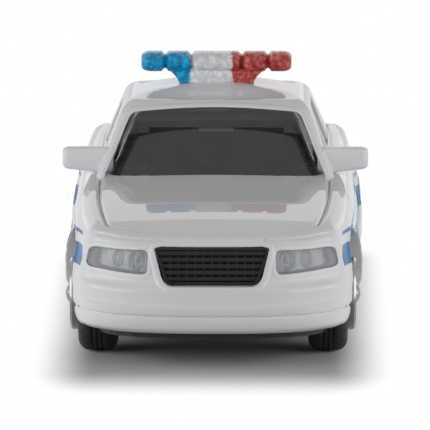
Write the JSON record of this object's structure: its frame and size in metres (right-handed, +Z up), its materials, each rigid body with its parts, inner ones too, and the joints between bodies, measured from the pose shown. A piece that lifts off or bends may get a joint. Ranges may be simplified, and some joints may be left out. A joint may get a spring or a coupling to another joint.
{
  "type": "toy police car",
  "caption": "Small die-cast toy police car: painted shell on a riveted base, tinted window moulding, roof light bar, lamp inserts and free-rolling wheelsets.",
  "frame": {"origin": "on the ground, under the middle of the length and of the width", "axes": "+Z up, -Y towards the nose, +X towards the car's left"},
  "size_m": [0.0314, 0.08, 0.0266],
  "materials": {
    "white_paint": "gloss white enamel on a zinc casting",
    "tinted_window": "clear smoked plastic",
    "interior_plastic": "dark moulded plastic",
    "base_plastic": "black moulded plastic",
    "bar_lens": "clear moulding tinted blue and red",
    "grille_black": "satin black",
    "clear_lens": "clear moulded plastic",
    "reflector": "bright foil",
    "red_lens": "red gloss",
    "steel": "plain steel",
    "plated_disc": "plated plastic",
    "tyre": "black moulded plastic"
  },
  "bodies": {
    "car": {"body_shell": "white_paint", "window_moulding": "tinted_window", "interior_tub": "interior_plastic", "base_plate": "base_plastic", "light_bar": "bar_lens", "grille": "grille_black", "headlight_lens_left": "clear_lens", "headlight_lens_right": "clear_lens", "headlight_reflector_left": "reflector", "headlight_reflector_right": "reflector", "tail_light_left": "red_lens", "tail_light_right": "red_lens", "front_rivet": "steel", "rear_rivet": "steel"},
    "front_wheelset": {"front_axle": "steel", "wheel_disc_front_left": "plated_disc", "wheel_disc_front_right": "plated_disc", "tyre_front_left": "tyre", "tyre_front_right": "tyre"},
    "rear_wheelset": {"rear_axle": "steel", "wheel_disc_rear_left": "plated_disc", "wheel_disc_rear_right": "plated_disc", "tyre_rear_left": "tyre", "tyre_rear_right": "tyre"}
  },
  "joints": [
    {"name": "front_axle_spin", "type": "hinge", "parent": "car", "child": "front_wheelset", "pos_m": [0, -0.025, 0.00575], "axis": [1, 0, 0], "continuous": true},
    {"name": "rear_axle_spin", "type": "hinge", "parent": "car", "child": "rear_wheelset", "pos_m": [0, 0.019, 0.00575], "axis": [1, 0, 0], "continuous": true}
  ]
}
